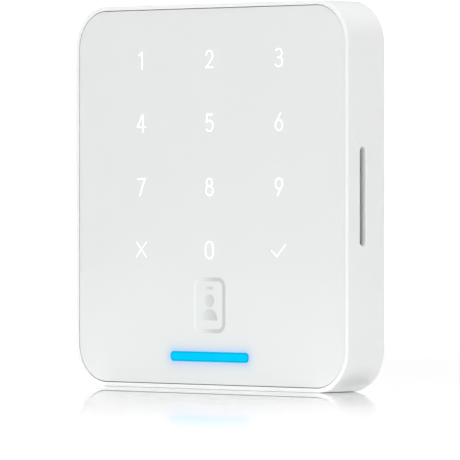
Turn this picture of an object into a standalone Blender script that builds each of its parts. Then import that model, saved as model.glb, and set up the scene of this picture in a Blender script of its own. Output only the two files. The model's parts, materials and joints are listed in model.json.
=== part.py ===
"""Wall-mounted RFID card reader with a twelve-key touch keypad and a status light.

The reader hangs by its top edge on two tongues of a flat wall plate and swings down onto it,
where a security screw in the plate's bottom tab clamps it. Metres, +Z up, front towards -Y.
The origin is at the middle of the bottom edge, halfway between the front rim and the tip of
the tamper plunger.
"""
import math

import bmesh
import bpy
from mathutils import Matrix, Vector

MM = 0.001

# Overall size
WIDTH = 98.3 * MM
HEIGHT = 100.0 * MM
DEPTH = 13.8 * MM
CORNER = 11.2 * MM
PLUNGER_OUT = 0.6 * MM
GAP = 0.3 * MM

# Cutters run past what they cut, and a slot's round end takes just under half its width
OVERRUN = 4.0 * MM
ROUND_END = 0.499

# Housing
RIM = 1.05 * MM
WALL = 2.4 * MM
EDGE_FILLET = 0.4 * MM
CORNER_STEPS = 12

# Stack from the front rim to the wall, each level built on the one before it
FRONT = -(DEPTH + PLUNGER_OUT) / 2
BACK = FRONT + DEPTH
PANEL_Y = FRONT + 0.15 * MM
PANEL_T = 1.4 * MM
MASK_Y = PANEL_Y + PANEL_T + GAP
MASK_T = 1.1 * MM
GUIDE_T = 0.6 * MM
ADHESIVE_T = 0.3 * MM
LEDGE_Y = MASK_Y + ADHESIVE_T + GAP
TOUCH_Y = MASK_Y + MASK_T + GAP
TOUCH_T = 0.8 * MM
COIL_Y = TOUCH_Y + TOUCH_T + GAP
COIL_WIRE = 0.36 * MM
FERRITE_Y = COIL_Y + COIL_WIRE + GAP
FERRITE_T = 0.3 * MM
MAIN_Y = FERRITE_Y + FERRITE_T + GAP
MAIN_T = 1.0 * MM
PARTS_Y = MAIN_Y + MAIN_T + GAP
PLATE_T = 1.5 * MM
PLATE_Y = BACK - PLATE_T
COVER_T = 1.0 * MM
SCREW_HEAD_ROOM = 0.6 * MM
COVER_Y = PLATE_Y - SCREW_HEAD_ROOM - COVER_T

# Outlines seen from the front
MIDDLE = HEIGHT / 2
CAVITY_W = WIDTH - 2 * WALL
CAVITY_H = HEIGHT - 2 * WALL
CAVITY_R = CORNER - WALL
BOARD_W = CAVITY_W - 2.7 * MM
BOARD_H = CAVITY_H - 2.6 * MM
MASK_W = CAVITY_W - 1.7 * MM
MASK_H = CAVITY_H - 1.6 * MM

# Keypad, light bar and side slot
KEY_PITCH_X = 24.85 * MM
KEY_ROWS = (35.5 * MM, 19.1 * MM, 2.5 * MM, -14.0 * MM)
KEY_CELL = 8.0 * MM
BAR_W = 28.2 * MM
BAR_H = 2.6 * MM
BAR_Z = MIDDLE - 41.6 * MM
STATUS_LED_PITCH = 7.0 * MM
LED_W = 1.6 * MM
LED_H = 0.8 * MM
SLOT_LENGTH = 25.2 * MM
SLOT_WIDTH = 2.2 * MM
SLOT_Y = FRONT + 5.65 * MM

# Fasteners
BOSS_X = 40.35 * MM
BOSS_Z = 41.2 * MM
BOSS_R = 2.8 * MM
BOSS_START_Y = LEDGE_Y + 0.25 * MM
BOSS_END_Y = 1.7 * MM
RIB_LENGTH = 6.6 * MM
RIB_WIDTH = 2.4 * MM
PAD_R = 3.6 * MM
STANDOFF_X = 34.5 * MM
STANDOFF_Z = 27.5 * MM
STANDOFF_R = 2.0 * MM
CASE_SHANK_R = 1.0 * MM
CASE_HEAD_R = 2.1 * MM
CASE_HEAD_T = 1.0 * MM
CASE_SCREW_LENGTH = 5.6 * MM
CASE_SEAT_Y = COVER_Y + COVER_T - CASE_HEAD_T - 0.2 * MM
BOARD_SHANK_R = 0.8 * MM
BOARD_HEAD_R = 1.8 * MM
BOARD_HEAD_T = 0.8 * MM
BOARD_SCREW_LENGTH = 3.2 * MM

# Swing axis of the reader: its top rear edge, which rocks against the wall
SWING_AXIS = Vector((0.0, BACK, HEIGHT - EDGE_FILLET))

# Security screw under the bottom tab of the wall plate
LOCK_Y = 3.0 * MM
LOCK_SHANK_R = 1.25 * MM
LOCK_HEAD_R = 2.3 * MM
LOCK_HEAD_Z = 0.1 * MM
LOCK_HEAD_T = 1.0 * MM
LOCK_TIP_Z = 7.0 * MM
LOCK_DRIVE_R = 1.2 * MM
LOCK_DRIVE_DEPTH = 0.8 * MM
LOCK_NOTCH_R = LOCK_SHANK_R + 0.35 * MM
LOCK_NOTCH_Z = WALL + 1.0 * MM
LOCK_HEAD_NOTCH_R = LOCK_HEAD_R + 0.5 * MM
LOCK_WEB_Z = 1.4 * MM
TAB_W = 14.0 * MM
TAB_T = 1.6 * MM
TAB_FRONT_Y = 0.5 * MM
TAB_Z = WALL + 0.6 * MM

# Speaker, tamper switch, reset switch and cable socket
SPEAKER = Vector((36.2 * MM, 0.0, MIDDLE))
SPEAKER_W = 17.2 * MM
SPEAKER_H = 27.0 * MM
SPEAKER_Y = -1.4 * MM
SPEAKER_T = 4.4 * MM
MAGNET_W = 11.0 * MM
MAGNET_H = 19.0 * MM
MAGNET_T = 1.7 * MM
TAMPER = Vector((-34.0 * MM, 0.0, 62.0 * MM))
TAMPER_R = 1.4 * MM
SPRING_R = 1.55 * MM
SPRING_WIRE_R = 0.14 * MM
SPRING_START_Y = 0.5 * MM
SPRING_END_Y = 2.0 * MM
SPRING_TURNS = 3
RESET = Vector((-34.0 * MM, 0.0, 37.0 * MM))
RESET_R = 1.3 * MM
SOCKET = Vector((0.0, 0.0, 42.0 * MM))
SOCKET_W = 18.5 * MM
SOCKET_H = 5.2 * MM
SOCKET_END_Y = 5.0 * MM
SEAL_BAND = 1.9 * MM
SEAL_Y = COVER_Y - 0.9 * MM
SEAL_T = 2.1 * MM
PIN_PITCH = 2.0 * MM
PIN_COUNT = 8

# Wall plate
WINDOW_W = 44.0 * MM
WINDOW_H = 34.0 * MM
EU_SCREW_X = 30.15 * MM
US_SCREW_Z = 41.65 * MM
SLOT_HOLE = (8.0 * MM, 4.0 * MM)
SLOT_SEAT = (12.0 * MM, 8.0 * MM)
SEAT_DEPTH = 0.9 * MM
TONGUE_X = 28.0 * MM
TONGUE_W = 12.0 * MM
TONGUE_T = 0.55 * MM
TONGUE_TOP = HEIGHT - 1.6 * MM


def clear_scene():
    for obj in list(bpy.data.objects):
        bpy.data.objects.remove(obj, do_unlink=True)


def new_collection(name):
    collection = bpy.data.collections.new(name)
    bpy.context.scene.collection.children.link(collection)
    return collection


def material(name, colour, roughness, metallic=0.0):
    """A Principled BSDF made once and then shared by equal parts."""
    if name in bpy.data.materials:
        return bpy.data.materials[name]
    result = bpy.data.materials.new(name)
    result.use_nodes = True
    shader = result.node_tree.nodes["Principled BSDF"]
    shader.inputs["Base Color"].default_value = (*colour, 1.0)
    shader.inputs["Roughness"].default_value = roughness
    shader.inputs["Metallic"].default_value = metallic
    result.diffuse_color = (*colour, 1.0)
    return result


def white_plastic():
    return material("white_plastic", (0.86, 0.87, 0.88), 0.42)


def panel_plastic():
    return material("panel_plastic", (0.78, 0.80, 0.79), 0.18)


def clear_acrylic():
    return material("clear_acrylic", (0.05, 0.62, 0.95), 0.25)


def black_plastic():
    return material("black_plastic", (0.03, 0.03, 0.035), 0.45)


def foam_tape():
    return material("foam_tape", (0.05, 0.05, 0.05), 0.9)


def board_laminate():
    return material("board_laminate", (0.02, 0.10, 0.06), 0.4)


def copper_wire():
    return material("copper_wire", (0.80, 0.38, 0.20), 0.3, 1.0)


def ferrite():
    return material("ferrite", (0.09, 0.09, 0.10), 0.7)


def tinned_steel():
    return material("tinned_steel", (0.62, 0.63, 0.65), 0.35, 1.0)


def chip_resin():
    return material("chip_resin", (0.02, 0.02, 0.022), 0.55)


def seal_rubber():
    return material("seal_rubber", (0.06, 0.06, 0.065), 0.8)


def plate_plastic():
    return material("plate_plastic", (0.70, 0.71, 0.72), 0.5)


def screw_steel():
    return material("screw_steel", (0.55, 0.56, 0.58), 0.3, 1.0)


def led_lens():
    return material("led_lens", (0.95, 0.93, 0.80), 0.3)


def add_object(name, mesh_or_curve, location, finish, collection):
    obj = bpy.data.objects.new(name, mesh_or_curve)
    obj.location = location
    obj.data.materials.append(finish)
    collection.objects.link(obj)
    return obj


def mesh_from(name, bm):
    mesh = bpy.data.meshes.new(name)
    bm.to_mesh(mesh)
    bm.free()
    return mesh


def add_block(bm, size, centre=(0.0, 0.0, 0.0), radius=0.0, steps=6, axis=1):
    """A box, with its four edges along the given axis rounded; one step makes a chamfer."""
    place = Matrix.Translation(centre) @ Matrix.Diagonal((*size, 1.0))
    verts = bmesh.ops.create_cube(bm, size=1.0, matrix=place)["verts"]
    if radius <= 0.0:
        return
    edges = {edge for vert in verts for edge in vert.link_edges}
    along = [e for e in edges if abs((e.verts[0].co - e.verts[1].co)[axis]) > 0.9 * size[axis]]
    bmesh.ops.bevel(bm, geom=along, offset=radius, segments=steps, profile=0.5, affect="EDGES")


def add_cylinder(bm, radius, length, centre=(0.0, 0.0, 0.0), axis="Y", sides=20):
    turn = {"X": Matrix.Rotation(math.pi / 2, 4, "Y"), "Z": Matrix.Identity(4),
            "Y": Matrix.Rotation(-math.pi / 2, 4, "X")}[axis]
    bmesh.ops.create_cone(bm, cap_ends=True, segments=sides, radius1=radius, radius2=radius,
                          depth=length, matrix=Matrix.Translation(centre) @ turn)


def block_object(name, size, location, finish, collection, radius=0.0, steps=6):
    bm = bmesh.new()
    add_block(bm, size, radius=radius, steps=steps)
    return add_object(name, mesh_from(name, bm), location, finish, collection)


def cutter(name, bm, collection):
    """A guide solid in world coordinates that a Boolean takes away or adds."""
    obj = bpy.data.objects.new(name, mesh_from(name, bm))
    obj.display_type = "WIRE"
    obj.hide_render = True
    collection.objects.link(obj)
    return obj


def boolean(obj, operand, operation="DIFFERENCE"):
    modifier = obj.modifiers.new(operand.name, "BOOLEAN")
    modifier.object = operand
    modifier.operation = operation


def soften_edges(obj, width, steps=2):
    modifier = obj.modifiers.new("edge_rounding", "BEVEL")
    modifier.width = width
    modifier.segments = steps
    modifier.limit_method = "ANGLE"
    modifier.angle_limit = math.radians(50)


def shade_round(obj):
    obj.data.shade_smooth()
    obj.data.set_sharp_from_angle(angle=math.radians(35))


def turned_object(name, profile, location, finish, collection, rotation=(0.0, 0.0, 0.0), steps=20):
    """A profile of (radius, height) points, top to bottom, turned about the object's own Z."""
    bm = bmesh.new()
    points = [bm.verts.new((radius, 0.0, height)) for radius, height in profile]
    for first, second in zip(points, points[1:]):
        bm.edges.new((first, second))
    obj = add_object(name, mesh_from(name, bm), location, finish, collection)
    obj.rotation_euler = rotation
    turn = obj.modifiers.new("turn", "SCREW")
    turn.steps = steps
    turn.render_steps = steps
    turn.use_merge_vertices = True
    turn.merge_threshold = 0.000001
    turn.use_smooth_shade = False
    return obj


def wire_object(name, points, wire_radius, location, finish, collection):
    """A round wire through the points, with closed ends."""
    curve = bpy.data.curves.new(name, "CURVE")
    curve.dimensions = "3D"
    curve.bevel_depth = wire_radius
    curve.bevel_resolution = 2
    curve.use_fill_caps = True
    spline = curve.splines.new("POLY")
    spline.points.add(len(points) - 1)
    for slot, point in zip(spline.points, points):
        slot.co = (*point, 1.0)
    return add_object(name, curve, location, finish, collection)


def screw_profile(head_radius, head_height, shank_radius, shank_length):
    """Pan head above its seat at height 0, shank with a pointed-off end below it."""
    edge = 0.25 * head_height
    tip = 0.4 * shank_radius
    return [(0.0, head_height), (head_radius - edge, head_height), (head_radius, head_height - edge),
            (head_radius, 0.0), (shank_radius, 0.0), (shank_radius, tip - shank_length),
            (shank_radius - tip, -shank_length), (0.0, -shank_length)]


def octagon_cut(width, height):
    """Corner chamfer that keeps a board clear of the case bosses."""
    reach = BOSS_X + BOSS_Z - math.sqrt(2) * (BOSS_R + 0.5 * MM)
    return (width + height) / 2 - reach


def corners(x, z):
    return [(side_x * x, MIDDLE + side_z * z) for side_x in (-1, 1) for side_z in (-1, 1)]


def key_centres():
    return [(column * KEY_PITCH_X, MIDDLE + row) for row in KEY_ROWS for column in (-1, 0, 1)]


# Case

def make_housing(parts, guides):
    housing = block_object("housing", (WIDTH, DEPTH, HEIGHT), (0.0, FRONT + DEPTH / 2, MIDDLE),
                           white_plastic(), parts, CORNER, CORNER_STEPS)
    soften_edges(housing, EDGE_FILLET)

    recess = bmesh.new()
    recess_depth = LEDGE_Y - FRONT + OVERRUN
    add_block(recess, (WIDTH - 2 * RIM, recess_depth, HEIGHT - 2 * RIM),
              (0.0, LEDGE_Y - recess_depth / 2, MIDDLE), CORNER - RIM, CORNER_STEPS)
    boolean(housing, cutter("panel_recess", recess, guides))

    cavity = bmesh.new()
    add_block(cavity, (CAVITY_W, 2 * DEPTH, CAVITY_H), (0.0, 0.0, MIDDLE), CAVITY_R, CORNER_STEPS)
    boolean(housing, cutter("inside_space", cavity, guides))

    boss_length = BOSS_END_Y - BOSS_START_Y
    boss_y = (BOSS_START_Y + BOSS_END_Y) / 2
    hole_floor = 1.0 * MM
    ribs = bmesh.new()
    bosses = bmesh.new()
    holes = bmesh.new()
    for x, z in corners(BOSS_X, BOSS_Z):
        outward = math.atan2(z - MIDDLE, x)
        along_rib = (Matrix.Translation((x, boss_y, z)) @ Matrix.Rotation(-outward, 4, "Y")
                     @ Matrix.Translation((RIB_LENGTH / 2, 0.0, 0.0)))
        size = Matrix.Diagonal((RIB_LENGTH, boss_length, RIB_WIDTH, 1.0))
        bmesh.ops.create_cube(ribs, size=1.0, matrix=along_rib @ size)
        add_cylinder(bosses, BOSS_R, boss_length, (x, boss_y, z))
        add_cylinder(holes, CASE_SHANK_R + GAP, boss_length, (x, boss_y + hole_floor, z), sides=12)
    boolean(housing, cutter("boss_ribs", ribs, guides), "UNION")
    boolean(housing, cutter("bosses", bosses, guides), "UNION")
    boolean(housing, cutter("boss_holes", holes, guides))

    slot = bmesh.new()
    add_block(slot, (4 * WALL, SLOT_WIDTH, SLOT_LENGTH), (WIDTH / 2, SLOT_Y, MIDDLE),
              ROUND_END * SLOT_WIDTH, 6, axis=0)
    boolean(housing, cutter("sound_slot", slot, guides))

    grooves = bmesh.new()
    groove_front = PLATE_Y - 0.35 * MM
    groove_back = BACK - 0.45 * MM
    groove_top = TONGUE_TOP + 0.6 * MM
    groove_bottom = HEIGHT - WALL - 1.0 * MM
    groove_width = TONGUE_W + 1.2 * MM
    for side in (-1, 1):
        add_block(grooves, (groove_width, groove_back - groove_front, groove_top - groove_bottom),
                  (side * TONGUE_X, (groove_front + groove_back) / 2, (groove_top + groove_bottom) / 2))
    boolean(housing, cutter("tongue_grooves", grooves, guides))

    for name, radius, top in (("lock_notch", LOCK_NOTCH_R, LOCK_NOTCH_Z),
                              ("lock_head_notch", LOCK_HEAD_NOTCH_R, LOCK_WEB_Z)):
        notch = bmesh.new()
        length = BACK - LOCK_Y + radius + OVERRUN
        height = top + OVERRUN
        add_block(notch, (2 * radius, length, height),
                  (0.0, LOCK_Y - radius + length / 2, top - height / 2), ROUND_END * 2 * radius, 8, axis=2)
        boolean(housing, cutter(name, notch, guides))
    shade_round(housing)


def make_front_panel(parts):
    inset = 2 * (RIM + GAP)
    edge_chamfer = 0.15 * MM
    panel = block_object("front_panel", (WIDTH - inset, PANEL_T, HEIGHT - inset),
                         (0.0, PANEL_Y + PANEL_T / 2, MIDDLE), panel_plastic(), parts,
                         CORNER - inset / 2, CORNER_STEPS)
    soften_edges(panel, edge_chamfer, 1)
    shade_round(panel)


def make_panel_adhesive(parts, guides):
    set_back = 0.2 * MM
    inset = 2 * (RIM + GAP + set_back)
    tape = block_object("panel_adhesive", (WIDTH - inset, ADHESIVE_T, HEIGHT - inset),
                        (0.0, MASK_Y + ADHESIVE_T / 2, MIDDLE), foam_tape(), parts,
                        CORNER - inset / 2, 6)
    inner = bmesh.new()
    add_block(inner, (CAVITY_W, 2 * OVERRUN, CAVITY_H), (0.0, MASK_Y, MIDDLE), CAVITY_R, 6)
    boolean(tape, cutter("tape_window", inner, guides))


def make_rear_cover(parts, guides):
    size = (CAVITY_W - 2 * GAP, COVER_T, CAVITY_H - 2 * GAP)
    cover = block_object("rear_cover", size, (0.0, COVER_Y + COVER_T / 2, MIDDLE),
                         white_plastic(), parts, CAVITY_R - GAP, 8)
    pads = bmesh.new()
    seats = bmesh.new()
    holes = bmesh.new()
    pad_start = BOSS_END_Y + GAP
    pad_end = COVER_Y + 0.5 * COVER_T
    head_seat = CASE_SEAT_Y - GAP
    for x, z in corners(BOSS_X, BOSS_Z):
        add_cylinder(pads, PAD_R, pad_end - pad_start, (x, (pad_start + pad_end) / 2, z))
        add_cylinder(seats, CASE_HEAD_R + GAP, OVERRUN, (x, head_seat + OVERRUN / 2, z))
        add_cylinder(holes, CASE_SHANK_R + GAP, 3 * OVERRUN, (x, COVER_Y, z), sides=12)
    for button, radius in ((TAMPER, TAMPER_R), (RESET, RESET_R)):
        add_cylinder(holes, radius + GAP, 2 * OVERRUN, button + Vector((0.0, COVER_Y, 0.0)), sides=16)
    boolean(cover, cutter("cover_pads", pads, guides), "UNION")
    boolean(cover, cutter("cover_screw_seats", seats, guides))
    boolean(cover, cutter("cover_holes", holes, guides))

    openings = bmesh.new()
    seal = 2 * (SEAL_BAND + 2 * GAP)
    seal_corner = 1.5 * MM
    add_block(openings, (SOCKET_W + seal, 2 * OVERRUN, SOCKET_H + seal),
              SOCKET + Vector((0.0, COVER_Y, 0.0)), seal_corner, 3)
    tab_notch_w = TAB_W + 3.0 * MM
    tab_notch_top = TAB_Z + TAB_T + 3.9 * MM
    tab_notch_h = tab_notch_top + OVERRUN
    add_block(openings, (tab_notch_w, 2 * OVERRUN, tab_notch_h),
              (0.0, COVER_Y, tab_notch_top - tab_notch_h / 2))
    boolean(cover, cutter("cover_openings", openings, guides))
    shade_round(cover)


def make_port_seal(parts, guides):
    outer = 2 * (SEAL_BAND + GAP)
    outer_corner = 1.2 * MM
    inner_corner = 0.4 * MM
    seal = block_object("port_seal", (SOCKET_W + outer, SEAL_T, SOCKET_H + outer),
                        SOCKET + Vector((0.0, SEAL_Y + SEAL_T / 2, 0.0)), seal_rubber(), parts,
                        outer_corner, 3)
    window = bmesh.new()
    add_block(window, (SOCKET_W + 2 * GAP, 2 * OVERRUN, SOCKET_H + 2 * GAP),
              SOCKET + Vector((0.0, COVER_Y, 0.0)), inner_corner, 2)
    boolean(seal, cutter("seal_window", window, guides))


# Light and touch layers

def make_light_mask(parts, guides):
    mask = block_object("light_mask", (MASK_W, MASK_T, MASK_H), (0.0, MASK_Y + MASK_T / 2, MIDDLE),
                        black_plastic(), parts, octagon_cut(MASK_W, MASK_H), 1)
    windows = bmesh.new()
    cell_corner = 1.5 * MM
    bar_corner = 1.0 * MM
    for x, z in key_centres():
        add_block(windows, (KEY_CELL, OVERRUN, KEY_CELL), (x, MASK_Y, z), cell_corner, 2)
    add_block(windows, (BAR_W + 2 * GAP, OVERRUN, BAR_H + 2 * GAP), (0.0, MASK_Y, BAR_Z), bar_corner, 3)
    boolean(mask, cutter("mask_windows", windows, guides))

    posts = bmesh.new()
    holes = bmesh.new()
    post_start = MASK_Y + 0.5 * MASK_T
    post_end = MAIN_Y - GAP
    hole_depth = post_end - post_start - GAP
    for x, z in corners(STANDOFF_X, STANDOFF_Z):
        add_cylinder(posts, STANDOFF_R, post_end - post_start, (x, (post_start + post_end) / 2, z),
                     sides=16)
        add_cylinder(holes, BOARD_SHANK_R + GAP, 2 * hole_depth, (x, post_end, z), sides=12)
    boolean(mask, cutter("mask_posts", posts, guides), "UNION")
    boolean(mask, cutter("mask_post_holes", holes, guides))


def make_status_light_guide(parts):
    corner = 1.1 * MM
    guide = block_object("status_light_guide", (BAR_W, GUIDE_T, BAR_H),
                         (0.0, MASK_Y + GUIDE_T / 2, BAR_Z), clear_acrylic(), parts, corner, 4)
    shade_round(guide)


def make_touch_board(parts, guides):
    board = block_object("touch_board", (BOARD_W, TOUCH_T, BOARD_H), (0.0, TOUCH_Y + TOUCH_T / 2, MIDDLE),
                         board_laminate(), parts, octagon_cut(BOARD_W, BOARD_H), 1)
    holes = bmesh.new()
    for x, z in corners(STANDOFF_X, STANDOFF_Z):
        add_cylinder(holes, STANDOFF_R + GAP, OVERRUN, (x, TOUCH_Y, z), sides=16)
    boolean(board, cutter("touch_board_holes", holes, guides))


def make_leds(parts):
    key_led_t = 0.5 * MM
    y = TOUCH_Y - GAP - key_led_t / 2
    for number, (x, z) in enumerate(key_centres(), 1):
        block_object(f"key_led_{number:02d}", (LED_W, key_led_t, LED_H), (x, y, z), led_lens(), parts)
    guide_back = MASK_Y + GUIDE_T
    status_led_t = TOUCH_Y - guide_back - 2 * GAP
    for number in range(4):
        x = (number - 1.5) * STATUS_LED_PITCH
        block_object(f"status_led_{number + 1}", (LED_W, status_led_t, LED_H),
                     (x, (guide_back + TOUCH_Y) / 2, BAR_Z), led_lens(), parts)


def make_antenna_coil(parts):
    """A flat square spiral of four turns with rounded corners, ending at its inner tail."""
    turns = 4
    pitch = 0.75 * MM
    half_w = 42.0 * MM
    half_h = 43.0 * MM
    corner_r = 16.0 * MM
    corner_steps = 4
    points = []
    for turn in range(turns):
        for quarter in range(4):
            inset = (turn + quarter / 4) * pitch
            radius = corner_r - inset
            side_x = 1 if quarter in (0, 3) else -1
            side_z = 1 if quarter in (0, 1) else -1
            centre_x = side_x * (half_w - corner_r)
            centre_z = side_z * (half_h - corner_r)
            for step in range(corner_steps + 1):
                angle = math.pi / 2 * (quarter + step / corner_steps)
                shrink = radius - pitch / 4 * step / corner_steps
                points.append((centre_x + shrink * math.cos(angle), 0.0,
                               centre_z + shrink * math.sin(angle)))
    wire_object("antenna_coil", points, COIL_WIRE / 2, (0.0, COIL_Y + COIL_WIRE / 2, MIDDLE),
                copper_wire(), parts)


def make_ferrite_frame(parts, guides):
    width = 87.4 * MM
    height = 89.0 * MM
    corner = 18.0 * MM
    band = 6.2 * MM
    frame = block_object("ferrite_frame", (width, FERRITE_T, height),
                         (0.0, FERRITE_Y + FERRITE_T / 2, MIDDLE), ferrite(), parts, corner, 4)
    window = bmesh.new()
    add_block(window, (width - 2 * band, OVERRUN, height - 2 * band), (0.0, FERRITE_Y, MIDDLE),
              corner - band, 4)
    boolean(frame, cutter("ferrite_window", window, guides))


# Main board and what sits on it

def make_main_board(parts, guides):
    board = block_object("main_board", (BOARD_W, MAIN_T, BOARD_H), (0.0, MAIN_Y + MAIN_T / 2, MIDDLE),
                         board_laminate(), parts, octagon_cut(BOARD_W, BOARD_H), 1)
    holes = bmesh.new()
    for x, z in corners(STANDOFF_X, STANDOFF_Z):
        add_cylinder(holes, BOARD_SHANK_R + GAP, OVERRUN, (x, MAIN_Y, z), sides=12)
    bay_left = SPEAKER.x - SPEAKER_W / 2 - 2 * GAP
    bay_right = BOARD_W / 2 + OVERRUN
    bay_h = SPEAKER_H + 1.6 * MM
    add_block(holes, (bay_right - bay_left, OVERRUN, bay_h),
              ((bay_left + bay_right) / 2, MAIN_Y, SPEAKER.z))
    boolean(board, cutter("main_board_cuts", holes, guides))


def make_board_parts(parts):
    """Square-built components on the rear of the main board: width, height off the board, length."""
    layout = (
        ("processor_shield", (22.0, 2.0, 20.0), (-14.0, 76.0), tinned_steel),
        ("memory_chip", (9.0, 1.0, 11.0), (5.0, 80.0), chip_resin),
        ("bluetooth_module", (14.0, 1.8, 10.0), (20.0, 86.0), tinned_steel),
        ("audio_amplifier", (4.0, 0.9, 4.0), (22.0, 68.0), chip_resin),
        ("lan_magnetics", (12.7, 2.4, 9.4), (4.0, 58.0), chip_resin),
        ("poe_transformer", (14.0, 3.3, 12.0), (-14.0, 25.0), ferrite),
        ("power_inductor", (7.0, 3.0, 7.0), (4.0, 24.0), ferrite),
        ("bulk_capacitor_1", (7.3, 2.8, 4.3), (15.0, 22.0), chip_resin),
        ("bulk_capacitor_2", (7.3, 2.8, 4.3), (15.0, 29.0), chip_resin),
        ("bridge_rectifier", (5.0, 1.4, 6.4), (-20.0, 45.0), chip_resin),
    )
    edge_chamfer = 0.2 * MM
    for name, size, (x, z), finish in layout:
        width, tall, length = (value * MM for value in size)
        part = block_object(name, (width, tall, length), (x * MM, PARTS_Y + tall / 2, z * MM),
                            finish(), parts)
        soften_edges(part, edge_chamfer, 1)


def make_board_connector(parts):
    start = TOUCH_Y + TOUCH_T + GAP
    end = MAIN_Y - GAP
    width = 14.0 * MM
    height = 3.4 * MM
    z = 84.0 * MM
    corner = 0.4 * MM
    block_object("board_connector", (width, end - start, height), (0.0, (start + end) / 2, z),
                 black_plastic(), parts, corner, 2)


def make_cable_socket(parts, guides):
    depth = SOCKET_END_Y - PARTS_Y
    corner = 0.3 * MM
    socket = block_object("cable_socket", (SOCKET_W, depth, SOCKET_H),
                          SOCKET + Vector((0.0, PARTS_Y + depth / 2, 0.0)),
                          material("socket_nylon", (0.85, 0.84, 0.78), 0.45), parts, corner, 2)
    side_wall = 0.7 * MM
    lip_wall = 0.75 * MM
    floor_y = PARTS_Y + 0.9 * MM
    hollow = bmesh.new()
    add_block(hollow, (SOCKET_W - 2 * side_wall, 2 * OVERRUN, SOCKET_H - 2 * lip_wall),
              SOCKET + Vector((0.0, floor_y + OVERRUN, 0.0)))
    key_w = 1.6 * MM
    key_h = 3.0 * MM
    key_x = 4.5 * MM
    key_y = floor_y + 1.5 * MM
    add_block(hollow, (key_w, 2 * OVERRUN, key_h),
              SOCKET + Vector((key_x, key_y + OVERRUN, (SOCKET_H - lip_wall) / 2)))
    boolean(socket, cutter("socket_hollow", hollow, guides))
    socket.modifiers["socket_hollow"].use_self = True

    comb_w = 16.4 * MM
    comb_t = 0.5 * MM
    comb_h = 1.6 * MM
    comb_y = floor_y + GAP
    comb = block_object("socket_pins", (comb_w, comb_t, comb_h),
                        SOCKET + Vector((0.0, comb_y + comb_t / 2, 0.0)),
                        material("pin_brass", (0.78, 0.62, 0.30), 0.3, 1.0), parts)
    pins = bmesh.new()
    pin_side = 0.5 * MM
    pin_start = comb_y + 0.2 * MM
    pin_length = 3.0 * MM
    for number in range(PIN_COUNT):
        x = (number - (PIN_COUNT - 1) / 2) * PIN_PITCH
        add_block(pins, (pin_side, pin_length, pin_side),
                  SOCKET + Vector((x, pin_start + pin_length / 2, 0.0)))
    boolean(comb, cutter("socket_pin_row", pins, guides), "UNION")


# Speaker

def make_speaker(parts, guides):
    frame_corner = 2.5 * MM
    frame = block_object("speaker_frame", (SPEAKER_W, SPEAKER_T, SPEAKER_H),
                         SPEAKER + Vector((0.0, SPEAKER_Y + SPEAKER_T / 2, 0.0)), black_plastic(),
                         parts, frame_corner, 3)
    bowl_end = SPEAKER_Y + 3.2 * MM
    bowl_start = SPEAKER_Y - OVERRUN
    bowl_wall = 1.0 * MM
    bowl = bmesh.new()
    add_block(bowl, (SPEAKER_W - 2 * bowl_wall, bowl_end - bowl_start, SPEAKER_H - 2 * bowl_wall),
              SPEAKER + Vector((0.0, (bowl_start + bowl_end) / 2, 0.0)), frame_corner - bowl_wall, 3)
    boolean(frame, cutter("speaker_bowl", bowl, guides))
    seat_start = SPEAKER_Y + 2.0 * MM
    seat = bmesh.new()
    add_block(seat, (MAGNET_W, 2 * OVERRUN, MAGNET_H), SPEAKER + Vector((0.0, seat_start + OVERRUN, 0.0)))
    boolean(frame, cutter("speaker_magnet_seat", seat, guides))
    vent_width = 1.6 * MM
    vent_length = 20.0 * MM
    vent_y = SPEAKER_Y + 1.0 * MM
    vent = bmesh.new()
    add_block(vent, (OVERRUN, vent_width, vent_length), (SPEAKER.x + SPEAKER_W / 2, vent_y, SPEAKER.z))
    boolean(frame, cutter("speaker_vent", vent, guides))

    magnet_corner = 1.0 * MM
    magnet_chamfer = 0.2 * MM
    magnet = block_object("speaker_magnet", (MAGNET_W - 2 * GAP, MAGNET_T, MAGNET_H - 2 * GAP),
                          SPEAKER + Vector((0.0, SPEAKER_Y + SPEAKER_T - MAGNET_T / 2, 0.0)),
                          tinned_steel(), parts, magnet_corner, 2)
    soften_edges(magnet, magnet_chamfer, 1)

    cone_margin = 0.6 * MM
    cone_inset = 2 * (bowl_wall + cone_margin)
    cone_y = 0.6 * MM
    cone_t = 0.35 * MM
    cone_corner = 1.4 * MM
    cone = block_object("speaker_diaphragm", (SPEAKER_W - cone_inset, cone_t, SPEAKER_H - cone_inset),
                        SPEAKER + Vector((0.0, cone_y, 0.0)),
                        material("diaphragm_film", (0.12, 0.12, 0.13), 0.35), parts, cone_corner, 3)
    dome_size = (8.0 * MM, 0.6 * MM, 16.0 * MM)
    dome_corner = 3.0 * MM
    dome = bmesh.new()
    add_block(dome, dome_size, SPEAKER + Vector((0.0, cone_y - cone_t, 0.0)), dome_corner, 4)
    boolean(cone, cutter("diaphragm_dome", dome, guides), "UNION")

    mesh_t = 0.3 * MM
    mesh_overlap = 0.7 * MM
    mesh_x = CAVITY_W / 2 - GAP - 0.25 * MM
    block_object("speaker_mesh", (mesh_t, SLOT_WIDTH + 2 * mesh_overlap, SLOT_LENGTH + 2 * mesh_overlap),
                 (mesh_x, SLOT_Y, MIDDLE), material("speaker_cloth", (0.03, 0.03, 0.03), 0.8), parts)


# Moving pieces

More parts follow.
